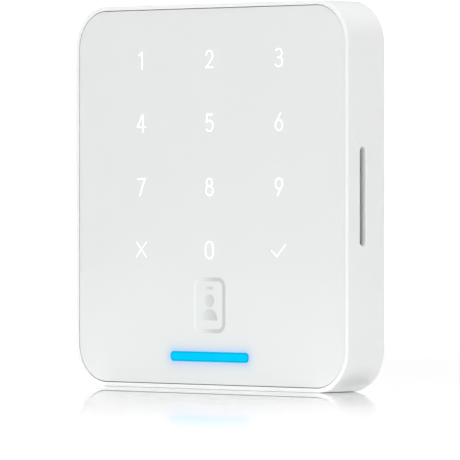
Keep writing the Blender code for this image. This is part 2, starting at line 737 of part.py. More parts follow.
def make_tamper_switch(parts, guides):
    """A switch body with a bore, a flanged plunger and its coil spring."""
    side = 7.0 * MM
    body_end = 1.3 * MM
    corner = 0.4 * MM
    body = block_object("tamper_switch", (side, body_end - PARTS_Y, side),
                        TAMPER + Vector((0.0, (PARTS_Y + body_end) / 2, 0.0)), black_plastic(), parts,
                        corner, 2)
    bore_r = 2.1 * MM
    bore_floor = 0.1 * MM
    bore = bmesh.new()
    add_cylinder(bore, bore_r, OVERRUN, TAMPER + Vector((0.0, bore_floor + OVERRUN / 2, 0.0)))
    boolean(body, cutter("tamper_bore", bore, guides))

    tip_y = BACK + PLUNGER_OUT
    stem_y = 1.1 * MM
    stem_r = 1.0 * MM
    flange_y = 2.4 * MM
    flange_end = flange_y + 0.7 * MM
    flange_r = 1.9 * MM
    round_off = 0.5 * MM
    shoulder = 0.15 * MM
    turned_object("tamper_plunger",
                  [(0.0, tip_y), (TAMPER_R - round_off, tip_y), (TAMPER_R - shoulder, tip_y - shoulder),
                   (TAMPER_R, tip_y - round_off), (TAMPER_R, flange_end), (flange_r, flange_end),
                   (flange_r, flange_y), (stem_r, flange_y), (stem_r, stem_y), (0.0, stem_y)],
                  TAMPER, material("plunger_acetal", (0.82, 0.83, 0.84), 0.4), parts,
                  rotation=(-math.pi / 2, 0.0, 0.0))

    per_turn = 12
    steps = SPRING_TURNS * per_turn
    spring = []
    for step in range(steps + 1):
        angle = 2 * math.pi * step / per_turn
        rise = SPRING_START_Y + (SPRING_END_Y - SPRING_START_Y) * step / steps
        spring.append((SPRING_R * math.cos(angle), rise, SPRING_R * math.sin(angle)))
    wire_object("tamper_spring", spring, SPRING_WIRE_R, TAMPER, screw_steel(), parts)


def make_reset_switch(parts):
    side = 6.0 * MM
    body_end = 2.1 * MM
    corner = 0.3 * MM
    block_object("reset_switch", (side, body_end - PARTS_Y, side),
                 RESET + Vector((0.0, (PARTS_Y + body_end) / 2, 0.0)), tinned_steel(), parts, corner, 1)
    top = COVER_Y + COVER_T - 0.1 * MM
    edge = 0.2 * MM
    flange_y = 2.6 * MM
    flange_end = flange_y + 0.5 * MM
    flange_r = 2.2 * MM
    turned_object("reset_button",
                  [(0.0, top), (RESET_R - edge, top), (RESET_R, top - edge), (RESET_R, flange_end),
                   (flange_r, flange_end), (flange_r, flange_y), (0.0, flange_y)],
                  RESET, material("button_abs", (0.75, 0.12, 0.10), 0.4), parts,
                  rotation=(-math.pi / 2, 0.0, 0.0))


def make_security_screw(parts, guides):
    seat_z = LOCK_HEAD_Z + LOCK_HEAD_T
    screw = turned_object("security_screw",
                          screw_profile(LOCK_HEAD_R, LOCK_HEAD_T, LOCK_SHANK_R, LOCK_TIP_Z - seat_z),
                          (0.0, LOCK_Y, seat_z), screw_steel(), parts, rotation=(math.pi, 0.0, 0.0),
                          steps=24)
    drive = bmesh.new()
    add_cylinder(drive, LOCK_DRIVE_R, 2 * LOCK_DRIVE_DEPTH, (0.0, LOCK_Y, LOCK_HEAD_Z), axis="Z", sides=6)
    boolean(screw, cutter("security_drive", drive, guides))


def make_fasteners(parts, guides):
    into_case = (math.pi / -2, 0.0, 0.0)
    board_seat = MAIN_Y + MAIN_T + GAP
    groups = (
        ("case_screw", BOSS_X, BOSS_Z, CASE_SEAT_Y,
         CASE_HEAD_R, CASE_HEAD_T, CASE_SHANK_R, CASE_SCREW_LENGTH),
        ("board_screw", STANDOFF_X, STANDOFF_Z, board_seat,
         BOARD_HEAD_R, BOARD_HEAD_T, BOARD_SHANK_R, BOARD_SCREW_LENGTH),
    )
    for name, x_off, z_off, seat_y, head_r, head_t, shank_r, length in groups:
        for number, (x, z) in enumerate(corners(x_off, z_off), 1):
            screw = turned_object(f"{name}_{number}", screw_profile(head_r, head_t, shank_r, length),
                                  (x, seat_y, z), screw_steel(), parts, rotation=into_case, steps=16)
            drive = bmesh.new()
            drive_depth = 0.6 * head_t
            add_cylinder(drive, 0.5 * head_r, 2 * drive_depth, (x, seat_y + head_t, z), sides=6)
            boolean(screw, cutter(f"{name}_{number}_drive", drive, guides))


# Wall plate

def make_wall_plate(parts, guides):
    plate = block_object("wall_plate", (CAVITY_W - 2 * GAP, PLATE_T, CAVITY_H - 2 * GAP),
                         (0.0, PLATE_Y + PLATE_T / 2, MIDDLE), plate_plastic(), parts,
                         CAVITY_R - GAP, 8)
    holes = bmesh.new()
    seats = bmesh.new()
    window_corner = 4.0 * MM
    add_block(holes, (WINDOW_W, 2 * OVERRUN, WINDOW_H), (0.0, PLATE_Y, MIDDLE), window_corner, 4)
    add_cylinder(holes, TAMPER_R + 2 * GAP, 2 * OVERRUN, TAMPER + Vector((0.0, PLATE_Y, 0.0)), sides=16)
    places = [(side * EU_SCREW_X, MIDDLE, SLOT_HOLE[::-1], SLOT_SEAT[::-1]) for side in (-1, 1)]
    places += [(0.0, MIDDLE + side * US_SCREW_Z, SLOT_HOLE, SLOT_SEAT) for side in (-1, 1)]
    for x, z, (hole_w, hole_h), (seat_w, seat_h) in places:
        add_block(holes, (hole_w, 2 * OVERRUN, hole_h), (x, PLATE_Y, z), ROUND_END * min(SLOT_HOLE), 4)
        add_block(seats, (seat_w, OVERRUN, seat_h), (x, PLATE_Y + SEAT_DEPTH - OVERRUN / 2, z),
                  ROUND_END * min(SLOT_SEAT), 4)
    boolean(plate, cutter("plate_screw_seats", seats, guides))
    boolean(plate, cutter("plate_holes", holes, guides))

    tab = bmesh.new()
    tab_back = PLATE_Y + 0.4 * PLATE_T
    add_block(tab, (TAB_W, tab_back - TAB_FRONT_Y, TAB_T),
              (0.0, (TAB_FRONT_Y + tab_back) / 2, TAB_Z + TAB_T / 2))
    boolean(plate, cutter("lock_tab", tab, guides), "UNION")
    thread = bmesh.new()
    add_cylinder(thread, LOCK_SHANK_R + GAP, OVERRUN, (0.0, LOCK_Y, TAB_Z + TAB_T / 2), axis="Z", sides=16)
    boolean(plate, cutter("lock_thread", thread, guides))

    tongues = bmesh.new()
    root = HEIGHT - WALL - 1.5 * MM
    tongue_y = PLATE_Y + 0.02 * MM
    for side in (-1, 1):
        add_block(tongues, (TONGUE_W, TONGUE_T, TONGUE_TOP - root),
                  (side * TONGUE_X, tongue_y + TONGUE_T / 2, (TONGUE_TOP + root) / 2))
    boolean(plate, cutter("hanging_tongues", tongues, guides), "UNION")
    shade_round(plate)


def group_moving_pieces(parts):
    """Empties on the joint axes carry the reader and its own moving pieces."""
    swing = bpy.data.objects.new("swing_axis", None)
    swing.location = SWING_AXIS
    swing.empty_display_size = 10 * MM
    parts.objects.link(swing)
    fixed = {"wall_plate", "security_screw", "swing_axis"}
    for obj in parts.objects:
        if obj.name not in fixed:
            obj.parent = swing
            obj.matrix_parent_inverse = Matrix.Translation(-SWING_AXIS)


def main():
    clear_scene()
    parts = new_collection("rfid_card_reader")
    guides = new_collection("cutters")
    make_housing(parts, guides)
    make_front_panel(parts)
    make_panel_adhesive(parts, guides)
    make_rear_cover(parts, guides)
    make_port_seal(parts, guides)
    make_light_mask(parts, guides)
    make_status_light_guide(parts)
    make_touch_board(parts, guides)
    make_leds(parts)
    make_antenna_coil(parts)
    make_ferrite_frame(parts, guides)
    make_main_board(parts, guides)
    make_board_parts(parts)
    make_board_connector(parts)
    make_cable_socket(parts, guides)
    make_speaker(parts, guides)
    make_tamper_switch(parts, guides)
    make_reset_switch(parts)
    make_security_screw(parts, guides)
    make_fasteners(parts, guides)
    make_wall_plate(parts, guides)
    group_moving_pieces(parts)


main()
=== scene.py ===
"""Looks of the RFID card reader: fine meshes, finishes, legends, lights and camera round the frame."""
import json
import math

import bmesh
import bpy
from mathutils import Matrix, Vector


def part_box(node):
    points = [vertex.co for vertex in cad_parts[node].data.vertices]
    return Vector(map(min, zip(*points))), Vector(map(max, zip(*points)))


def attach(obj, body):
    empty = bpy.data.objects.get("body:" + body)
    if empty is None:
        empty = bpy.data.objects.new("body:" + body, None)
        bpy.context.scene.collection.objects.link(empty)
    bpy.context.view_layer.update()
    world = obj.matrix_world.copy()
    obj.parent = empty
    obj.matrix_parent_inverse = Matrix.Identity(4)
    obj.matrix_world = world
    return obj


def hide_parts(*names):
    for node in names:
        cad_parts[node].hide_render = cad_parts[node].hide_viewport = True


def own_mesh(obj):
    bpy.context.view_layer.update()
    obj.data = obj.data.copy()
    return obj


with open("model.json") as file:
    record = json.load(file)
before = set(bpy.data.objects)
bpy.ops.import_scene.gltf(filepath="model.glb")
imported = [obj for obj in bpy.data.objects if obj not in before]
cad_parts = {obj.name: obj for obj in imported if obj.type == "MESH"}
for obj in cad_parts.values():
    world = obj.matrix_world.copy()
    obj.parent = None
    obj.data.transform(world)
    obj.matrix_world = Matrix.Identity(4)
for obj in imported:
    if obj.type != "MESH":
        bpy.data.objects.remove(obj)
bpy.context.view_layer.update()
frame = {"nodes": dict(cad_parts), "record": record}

MM = 0.001

# Sizes read from the frame
HOUSING_LOW, HOUSING_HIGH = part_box("housing")
PANEL_LOW, PANEL_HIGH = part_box("front_panel")
GUIDE_LOW, GUIDE_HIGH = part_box("status_light_guide")
MESH_LOW, MESH_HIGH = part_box("speaker_mesh")
LOCK_LOW, LOCK_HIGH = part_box("security_screw")
CASE_SCREW_LOW, CASE_SCREW_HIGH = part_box("case_screw_4")
COVER_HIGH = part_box("rear_cover")[1]
TAPE_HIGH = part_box("panel_adhesive")[1]
FRONT = HOUSING_LOW.y
BACK = HOUSING_HIGH.y
WIDTH = HOUSING_HIGH.x - HOUSING_LOW.x
HEIGHT = HOUSING_HIGH.z - HOUSING_LOW.z
MIDDLE = HEIGHT / 2
GAP = 0.3 * MM
WALL = HOUSING_HIGH.x - COVER_HIGH.x - GAP
LEDGE_Y = TAPE_HIGH.y + GAP
CORNER = 11.2 * MM
CORNER_STEPS = 28
BAR_WIDTH = GUIDE_HIGH.x - GUIDE_LOW.x
BAR_HEIGHT = GUIDE_HIGH.z - GUIDE_LOW.z
BAR_MIDDLE = (GUIDE_LOW.z + GUIDE_HIGH.z) / 2

# The rim and the panel grow into the CAD's gap between them, which leaves the 0.18 mm that the photo shows
RIM_GROWTH = 0.045 * MM
PANEL_GROWTH = 0.075 * MM
RIM = HOUSING_HIGH.x - PANEL_HIGH.x - GAP + RIM_GROWTH

# Rounding of the edges that look sharp, and how far a cutting solid runs past what it cuts
EDGE = 0.05 * MM
OVERRUN = 1.0 * MM

# Vertices closer than this are one
WELD = 0.002 * MM

# Keypad layout on the panel, from the middle of the front face
KEY_PITCH_X = 24.85 * MM
KEY_ROWS = (35.6 * MM, 19.14 * MM, 2.46 * MM, -13.92 * MM)
LEGEND_PROUD = 0.015 * MM
LEGEND_SUNK = 0.05 * MM
DIGIT_STROKE = 0.44 * MM
SIGN_STROKE = 0.35 * MM

# Width and height of the legends as shares of the lines in glyphs()
DIGIT_SCALE = (0.86, 0.96)
SIGN_SCALE = (0.90, 0.97)

TOP_LAMP_HEIGHT = 1.4


# Mesh helpers

def link(obj):
    bpy.context.scene.collection.objects.link(obj)
    return obj


def object_from(name, bm):
    bmesh.ops.recalc_face_normals(bm, faces=bm.faces)
    mesh = bpy.data.meshes.new(name)
    bm.to_mesh(mesh)
    bm.free()
    return link(bpy.data.objects.new(name, mesh))


def outline(width, height, radius, steps=CORNER_STEPS):
    """(x, z) points of a rounded rectangle about the origin."""
    points = []
    for quarter, (side_x, side_z) in enumerate(((1, 1), (-1, 1), (-1, -1), (1, -1))):
        for step in range(steps + 1):
            angle = math.pi / 2 * (quarter + step / steps)
            points.append((side_x * (width / 2 - radius) + radius * math.cos(angle),
                           side_z * (height / 2 - radius) + radius * math.sin(angle)))
    return points


def add_loop(bm, points):
    return [bm.verts.new(point) for point in points]


def bridge(bm, first, second):
    count = len(first)
    for i in range(count):
        j = (i + 1) % count
        bm.faces.new((first[i], first[j], second[j], second[i]))


def quarter_round(centre, radius, start, end, steps):
    """Points of an arc in the (inset, y) section, angles in degrees."""
    points = []
    for step in range(steps + 1):
        angle = math.radians(start + (end - start) * step / steps)
        points.append((centre[0] + radius * math.cos(angle), centre[1] + radius * math.sin(angle)))
    return points


def skin(bm, loops, closed=False):
    """Joins each loop to the next, and then the last to the first, or caps both ends."""
    for first, second in zip(loops, loops[1:]):
        bridge(bm, first, second)
    if closed:
        bridge(bm, loops[-1], loops[0])
    else:
        bm.faces.new(loops[0])
        bm.faces.new(loops[-1])


def loft_sections(bm, width, height, radius, section, closed):
    """Sweeps a section of (inset, y) points round a rounded rectangle centred on the front face."""
    loops = []
    for inset, y in section:
        shape = outline(width - 2 * inset, height - 2 * inset, radius - inset)
        loops.append(add_loop(bm, [(x, y, MIDDLE + z) for x, z in shape]))
    skin(bm, loops, closed)


def add_block(bm, low, high, radius=0.0, steps=8, axis=1):
    """A box between two corners, with its four edges along the given axis rounded."""
    low = Vector(low)
    high = Vector(high)
    size = high - low
    place = Matrix.Translation((low + high) / 2) @ Matrix.Diagonal((*size, 1.0))
    verts = bmesh.ops.create_cube(bm, size=1.0, matrix=place)["verts"]
    if radius > 0.0:
        edges = {edge for vert in verts for edge in vert.link_edges}
        along = [e for e in edges if abs((e.verts[0].co - e.verts[1].co)[axis]) > 0.9 * size[axis]]
        bmesh.ops.bevel(bm, geom=along, offset=radius, segments=steps, profile=0.5, affect="EDGES")


def add_cylinder(bm, radius, start, end, sides=32):
    """A cylinder between two points."""
    start = Vector(start)
    end = Vector(end)
    turn = Vector((0.0, 0.0, 1.0)).rotation_difference(end - start).to_matrix().to_4x4()
    bmesh.ops.create_cone(bm, cap_ends=True, segments=sides, radius1=radius, radius2=radius,
                          depth=(end - start).length, matrix=Matrix.Translation((start + end) / 2) @ turn)


def apply_modifiers(obj):
    """The evaluated mesh becomes the object's own."""
    graph = bpy.context.evaluated_depsgraph_get()
    graph.update()
    mesh = bpy.data.meshes.new_from_object(obj.evaluated_get(graph))
    obj.modifiers.clear()
    obj.data = mesh


def combine(obj, bm, operation="DIFFERENCE"):
    """Cuts the solids in bm out of obj, or joins them to it."""
    tool = object_from("tool", bm)
    modifier = obj.modifiers.new("combine", "BOOLEAN")
    modifier.object = tool
    modifier.operation = operation
    modifier.use_self = operation == "UNION"
    apply_modifiers(obj)
    bpy.data.objects.remove(tool)


def tidy_mesh(obj, angle=0.5):
    """Welds the vertices and joins the triangles of each flat area, within an angle in degrees."""
    bm = bmesh.new()
    bm.from_mesh(obj.data)
    bmesh.ops.remove_doubles(bm, verts=bm.verts, dist=WELD)
    bmesh.ops.dissolve_degenerate(bm, edges=bm.edges, dist=WELD)
    bmesh.ops.dissolve_limit(bm, angle_limit=math.radians(angle), verts=bm.verts, edges=bm.edges)
    bmesh.ops.recalc_face_normals(bm, faces=bm.faces)
    bm.to_mesh(obj.data)
    bm.free()


def smooth(obj, angle=32, weighted=True):
    """Smooth shading, with flat areas kept flat."""
    obj.data.shade_smooth()
    obj.data.set_sharp_from_angle(angle=math.radians(angle))
    if weighted:
        modifier = obj.modifiers.new("flat_areas", "WEIGHTED_NORMAL")
        modifier.keep_sharp = True
        modifier.weight = 80


def soften(obj, width, steps=2, angle=40):
    """Rounds the edges whose faces meet at more than the angle, in degrees."""
    modifier = obj.modifiers.new("edges", "BEVEL")
    modifier.width = width
    modifier.segments = steps
    modifier.limit_method = "ANGLE"
    modifier.angle_limit = math.radians(angle)
    modifier.use_clamp_overlap = True
    modifier.miter_outer = "MITER_ARC"
    apply_modifiers(obj)


def copy_of(node, name):
    """A loose copy of a CAD node's mesh, for a finer version of it."""
    return link(bpy.data.objects.new(name, frame["nodes"][node].data.copy()))


def body_of(node):
    for body, members in frame["record"]["behaviour"]["bodies"].items():
        if node in members:
            return body
    raise KeyError(node)


def slot_of(node):
    for entry in frame["record"]["subparts"]:
        if entry["node"] == node:
            return entry["material_slot"]
    raise KeyError(node)


def dress(obj, finish, body, slot, *nodes):
    """Gives a new piece its finish and its body, and hides the CAD nodes it stands for."""
    obj.data.materials.clear()
    obj.data.materials.append(finish)
    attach(obj, body)
    if nodes:
        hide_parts(*nodes)


# Finishes

class Finish:
    """A Principled material built up from procedural layers in the object's own coordinates."""

    def __init__(self, name, colour, roughness, metallic=0.0, **sockets):
        self.material = bpy.data.materials.new(name)
        self.material.use_nodes = True
        self.nodes = self.material.node_tree.nodes
        self.links = self.material.node_tree.links
        self.shader = self.nodes["Principled BSDF"]
        self.place = self.nodes.new("ShaderNodeTexCoord").outputs["Object"]
        self.colour = colour
        self.roughness = roughness
        self.shader.inputs["Base Color"].default_value = (*colour, 1.0)
        self.shader.inputs["Roughness"].default_value = roughness
        self.shader.inputs["Metallic"].default_value = metallic
        for socket, value in sockets.items():
            self.shader.inputs[socket.replace("_", " ")].default_value = value

    def noise(self, size, detail=2.0, stretch=None):
        """Noise whose features are about the given size, in metres."""
        place = self.place
        if stretch:
            mapping = self.nodes.new("ShaderNodeMapping")
            mapping.inputs["Scale"].default_value = stretch
            self.links.new(place, mapping.inputs["Vector"])
            place = mapping.outputs["Vector"]
        texture = self.nodes.new("ShaderNodeTexNoise")
        texture.inputs["Scale"].default_value = 1.0 / size
        texture.inputs["Detail"].default_value = detail
        self.links.new(place, texture.inputs["Vector"])
        return texture.outputs["Fac"]

    def remap(self, value, low, high):
        """Stretches the middle of a noise, from 0.3 to 0.7, to run from low to high."""
        node = self.nodes.new("ShaderNodeMapRange")
        node.inputs["From Min"].default_value = 0.3
        node.inputs["From Max"].default_value = 0.7
        node.inputs["To Min"].default_value = low
        node.inputs["To Max"].default_value = high
        self.links.new(value, node.inputs["Value"])
        return node.outputs["Result"]

    def math(self, operation, first, second=0.0, clamp=False):
        """One step of arithmetic on sockets or plain numbers."""
        node = self.nodes.new("ShaderNodeMath")
        node.operation = operation
        node.use_clamp = clamp
        for socket, value in zip(node.inputs, (first, second)):
            if isinstance(value, (int, float)):
                socket.default_value = value
            else:
                self.links.new(value, socket)
        return node.outputs["Value"]

    def mix_colour(self, factor, first, second):
        """From the first colour at factor 0 to the second at factor 1."""
        node = self.nodes.new("ShaderNodeMix")
        node.data_type = "RGBA"
        for name, value in (("Factor_Float", factor), ("A_Color", first), ("B_Color", second)):
            socket = next(s for s in node.inputs if s.identifier == name)
            if isinstance(value, tuple):
                socket.default_value = (*value, 1.0)
            else:
                self.links.new(value, socket)
        return next(s for s in node.outputs if s.identifier == "Result_Color")

    def axis(self, letter):
        """One of the object's own coordinates."""
        split = self.nodes.new("ShaderNodeSeparateXYZ")
        self.links.new(self.place, split.inputs["Vector"])
        return split.outputs[letter]

    def beyond(self, value, half):
        """How far a value's size is over half, or nothing."""
        return self.math("MAXIMUM", self.math("SUBTRACT", self.math("ABSOLUTE", value), half), 0.0)

    def diagonal(self, first, second):
        """Length made up by two distances at right angles."""
        squares = [self.math("MULTIPLY", side, side) for side in (first, second)]
        return self.math("SQRT", self.math("ADD", *squares))

    def fall_off(self, distance, reach):
        """1 at no distance, and less by a factor of e with each further reach."""
        return self.math("POWER", math.e, self.math("MULTIPLY", distance, -1.0 / reach))

    def mottle(self, size, spread):
        """Slow variation of the colour, by the given share either way."""
        light = tuple(min(1.0, c * (1 + spread)) for c in self.colour)
        dark = tuple(c * (1 - spread) for c in self.colour)
        factor = self.remap(self.noise(size), 0.0, 1.0)
        self.links.new(self.mix_colour(factor, dark, light), self.shader.inputs["Base Color"])
        return self

    def uneven_gloss(self, size, spread):
        """Variation of the roughness, by the given amount either way."""
        value = self.remap(self.noise(size, 3.0), self.roughness - spread, self.roughness + spread)
        self.links.new(value, self.shader.inputs["Roughness"])
        return self

    def grain(self, size, depth, stretch=None):
        """Moulded or etched texture as a bump of the given depth, in metres."""
        bump = self.nodes.new("ShaderNodeBump")
        bump.inputs["Strength"].default_value = 1.0
        bump.inputs["Distance"].default_value = depth
        self.links.new(self.noise(size, 1.0, stretch), bump.inputs["Height"])
        self.links.new(bump.outputs["Normal"], self.shader.inputs["Normal"])
        return self


def moulded(name, colour, roughness, grain=0.25 * MM, depth=0.004 * MM):
    """Plastic, rubber or ceramic with a fine grain."""
    finish = Finish(name, colour, roughness)
    finish.mottle(9 * MM, 0.012).uneven_gloss(3 * MM, 0.04).grain(grain, depth)
    return finish.material


def rolled_metal(name, colour, roughness):
    """Metal with fine lines along one direction."""
    finish = Finish(name, colour, roughness, 1.0)
    finish.mottle(2 * MM, 0.06).uneven_gloss(0.8 * MM, 0.08)
    finish.grain(0.3 * MM, 0.002 * MM, stretch=(1.0, 1.0, 8.0))
    return finish.material


def housing_finish():
    finish = Finish("white_polycarbonate", (0.756, 0.764, 0.761), 0.42)
    finish.mottle(14 * MM, 0.006).uneven_gloss(4 * MM, 0.04).grain(0.22 * MM, 0.0025 * MM)
    return finish.material


def light_bar_distance(finish):
    """Distance in metres from the light bar's centre line, level with the panel."""
    beyond = finish.beyond(finish.axis("X"), (BAR_WIDTH - BAR_HEIGHT) / 2)
    above = finish.math("SUBTRACT", finish.axis("Z"), BAR_MIDDLE)
    return finish.diagonal(beyond, above)


def panel_finish():
    """Pale grey satin panel with painted light round the status bar: a painted glow, and a base colour
    painted bluer near the bar, for the light that scatters in it.
    """
    rim_reach = 0.28 * MM
    halo_reach = 1.02 * MM
    rim_glow = 0.20
    halo_glow = 0.07
    halo_paint_share = 0.92
    finish = Finish("panel_polycarbonate", (0.660, 0.672, 0.667), 0.36)
    finish.mottle(22 * MM, 0.006).uneven_gloss(6 * MM, 0.03).grain(0.12 * MM, 0.0006 * MM)
    outside = finish.beyond(light_bar_distance(finish), BAR_HEIGHT / 2)
    rim = finish.fall_off(outside, rim_reach)
    halo = finish.fall_off(outside, halo_reach)
    base = finish.shader.inputs["Base Color"].links[0].from_socket
    # Painted light: near the bar the base colour is painted blue and the panel glows, though it is no lamp
    halo_painted_colour = finish.mix_colour(finish.math("MULTIPLY", halo, halo_paint_share), base, (0.31, 0.46, 0.66))
    finish.links.new(halo_painted_colour, finish.shader.inputs["Base Color"])
    glow = finish.mix_colour(rim, (0.10, 0.20, 1.0), (0.0, 0.72, 0.78))
    finish.links.new(glow, finish.shader.inputs["Emission Color"])
    wide = finish.math("MULTIPLY", halo, halo_glow)
    near = finish.math("MULTIPLY", rim, rim_glow)
    finish.links.new(finish.math("ADD", wide, near), finish.shader.inputs["Emission Strength"])
    return finish.material


def light_bar_finish():
    """Sky-blue lit bar, a little deeper towards its edge."""
    edge_width = 0.55 * MM
    finish = Finish("lit_acrylic", (0.0, 0.06, 0.10), 0.30, Specular_IOR_Level=0.0)
    past_middle = finish.math("SUBTRACT", light_bar_distance(finish), BAR_HEIGHT / 2 - edge_width)
    edge = finish.math("MULTIPLY", past_middle, 1.0 / edge_width, clamp=True)
    cloud = finish.remap(finish.noise(5 * MM), 0.0, 0.12)
    factor = finish.math("ADD", edge, cloud, clamp=True)
    colour = finish.mix_colour(factor, (0.001, 0.58, 0.89), (0.0, 0.27, 0.58))
    finish.links.new(colour, finish.shader.inputs["Emission Color"])
    finish.shader.inputs["Emission Strength"].default_value = 1.0
    return finish.material


def legend_finish():
    """White print with a faint back light."""
    finish = Finish("legend_white", (0.93, 0.93, 0.93), 0.45)
    finish.mottle(1.5 * MM, 0.01).uneven_gloss(1 * MM, 0.04)
    finish.shader.inputs["Emission Color"].default_value = (1.0, 1.0, 1.0, 1.0)
    finish.shader.inputs["Emission Strength"].default_value = 0.18
    return finish.material


def badge_finish():
    """Silver print with painted shading, lighter on the left and darker towards the right."""
    light = (0.74, 0.77, 0.77)
    dark = (0.47, 0.49, 0.49)
    painted_shade_per_metre = 110.0
    painted_shade_at_middle = 0.75
    finish = Finish("badge_silver_painted_shading", dark, 0.4)
    # Painted shading: the silver darkens steadily from left to right across the mark
    slope = finish.math("MULTIPLY", finish.axis("X"), painted_shade_per_metre)
    across = finish.math("ADD", slope, painted_shade_at_middle)
    factor = finish.math("ADD", across, finish.remap(finish.noise(2 * MM), -0.03, 0.03), clamp=True)
    finish.links.new(finish.mix_colour(factor, light, dark), finish.shader.inputs["Base Color"])
    return finish.uneven_gloss(2 * MM, 0.05).material


def laminate_finish():
    """Green solder mask with the faint weave of the glass cloth under it."""
    weave_size = 0.9 * MM
    weave_depth = 0.003 * MM
    finish = Finish("solder_mask", (0.010, 0.085, 0.045), 0.32)
    finish.mottle(4 * MM, 0.10).uneven_gloss(1.5 * MM, 0.06)
    turn = finish.nodes.new("ShaderNodeMapping")
    turn.inputs["Rotation"].default_value = (math.pi / 2, 0.0, 0.0)
    finish.links.new(finish.place, turn.inputs["Vector"])
    weave = finish.nodes.new("ShaderNodeTexBrick")
    weave.inputs["Scale"].default_value = 1.0 / weave_size
    weave.inputs["Mortar Size"].default_value = 0.05
    finish.links.new(turn.outputs["Vector"], weave.inputs["Vector"])
    bump = finish.nodes.new("ShaderNodeBump")
    bump.inputs["Distance"].default_value = weave_depth
    finish.links.new(weave.outputs["Fac"], bump.inputs["Height"])
    finish.links.new(bump.outputs["Normal"], finish.shader.inputs["Normal"])
    return finish.material


def make_finishes():
    """A finish for each material slot of the record, and two for what is printed on the panel."""
    return {
        "case_white": housing_finish(),
        "front_panel": panel_finish(),
        "foam_tape": moulded("foam_tape", (0.035, 0.035, 0.035), 0.85, 0.3 * MM, 0.03 * MM),
        "black_plastic": moulded("black_nylon", (0.022, 0.022, 0.025), 0.45, 0.18 * MM, 0.006 * MM),
        "light_guide": light_bar_finish(),
        "circuit_board": laminate_finish(),
        "copper": rolled_metal("enamelled_copper", (0.80, 0.36, 0.17), 0.28),
        "ferrite": moulded("sintered_ferrite", (0.06, 0.06, 0.066), 0.65, 0.12 * MM, 0.012 * MM),
        "tinned_metal": rolled_metal("tinned_steel", (0.62, 0.63, 0.64), 0.33),
        "chip_resin": moulded("epoxy_resin", (0.018, 0.018, 0.020), 0.5, 0.1 * MM, 0.004 * MM),
        "socket_nylon": moulded("natural_nylon", (0.80, 0.78, 0.70), 0.42, 0.2 * MM, 0.004 * MM),
        "contact_brass": rolled_metal("gold_flash", (0.83, 0.62, 0.28), 0.25),
        "seal_rubber": moulded("silicone_rubber", (0.030, 0.030, 0.033), 0.75, 0.25 * MM, 0.01 * MM),
        "diaphragm_film": moulded("polyester_film", (0.09, 0.09, 0.10), 0.3, 0.6 * MM, 0.004 * MM),
        "speaker_cloth": moulded("acoustic_cloth", (0.02, 0.02, 0.02), 0.8, 0.15 * MM, 0.05 * MM),
        "plunger_acetal": moulded("white_acetal", (0.76, 0.77, 0.77), 0.35, 0.3 * MM, 0.003 * MM),
        "steel": rolled_metal("zinc_steel", (0.56, 0.57, 0.58), 0.30),
        "reset_red": moulded("red_abs", (0.55, 0.035, 0.03), 0.4, 0.2 * MM, 0.005 * MM),
        "wall_plate": moulded("grey_glass_nylon", (0.52, 0.53, 0.54), 0.5, 0.25 * MM, 0.008 * MM),
        "led_lens": moulded("led_phosphor", (0.90, 0.78, 0.32), 0.35, 0.1 * MM, 0.003 * MM),
        "legend": legend_finish(),
        "badge": badge_finish(),
    }


FINISHES = make_finishes()


# Case

def make_housing():
    """The case: shell, screw bosses, sound slot, grooves for the tongues and notches for the lock screw."""
    bm = bmesh.new()
    loft_sections(bm, WIDTH, HEIGHT, CORNER, housing_section(), closed=True)
    housing = object_from("housing_shell", bm)
    bosses, holes = screw_bosses()
    combine(housing, bosses, "UNION")
    combine(housing, holes)
    combine(housing, sound_slot())
    combine(housing, tongue_grooves())
    for notch in lock_notches():
        combine(housing, notch)
    tidy_mesh(housing, 0.2)
    smooth(housing)
    dress(housing, FINISHES["case_white"], "reader", "case_white", "housing")


def housing_section():
    """(inset, y) points round the wall: outside from back to front, narrow rim, panel recess, inside."""
    front_round = 0.18 * MM
    back_round = 0.40 * MM
    section = quarter_round((back_round, BACK - back_round), back_round, 90, 180, 5)
    section += quarter_round((front_round, FRONT + front_round), front_round, 180, 270, 7)
    section += quarter_round((RIM - EDGE, FRONT + EDGE), EDGE, 270, 360, 4)
    section += [(RIM, LEDGE_Y), (WALL, LEDGE_Y), (WALL, BACK - EDGE), (WALL - EDGE, BACK)]
    return section


def screw_bosses():
    """The four bosses with a rib from each to its corner, and the holes for their screws."""
    middle_x = (CASE_SCREW_LOW.x + CASE_SCREW_HIGH.x) / 2
    middle_z = (CASE_SCREW_LOW.z + CASE_SCREW_HIGH.z) / 2 - MIDDLE
    boss_radius = 2.8 * MM
    hole_radius = 1.3 * MM
    start = LEDGE_Y + 0.25 * MM
    end = 1.7 * MM
    hole_start = -1.5 * MM
    rib_length = 6.6 * MM
    rib_width = 2.4 * MM
    rib_shortfall = 0.02 * MM
    bosses = bmesh.new()
    holes = bmesh.new()
    for side_x in (-1, 1):
        for side_z in (-1, 1):
            x = side_x * middle_x
            z = MIDDLE + side_z * middle_z
            add_cylinder(bosses, boss_radius, (x, start, z), (x, end, z))
            outward = Vector((side_x, 0.0, side_z)).normalized()
            place = Matrix.Translation(Vector((x, (start + end) / 2, z)) + outward * rib_length / 2)
            turn = Matrix.Rotation(-math.atan2(outward.z, outward.x), 4, "Y")
            size = Matrix.Diagonal((rib_length, end - start - rib_shortfall, rib_width, 1.0))
            bmesh.ops.create_cube(bosses, size=1.0, matrix=place @ turn @ size)
            add_cylinder(holes, hole_radius, (x, hole_start, z), (x, end + OVERRUN, z), 24)
    return bosses, holes


def tongue_grooves():
    """Grooves in the top wall, which hang on the wall plate's two tongues."""
    middle_x = 28.0 * MM
    half_width = 6.6 * MM
    front = BACK - 1.85 * MM
    back = BACK - 0.45 * MM
    top = HEIGHT - 1.0 * MM
    grooves = bmesh.new()
    for side in (-1, 1):
        x = side * middle_x
        add_block(grooves, (x - half_width, front, HEIGHT - WALL - OVERRUN), (x + half_width, back, top))
    return grooves


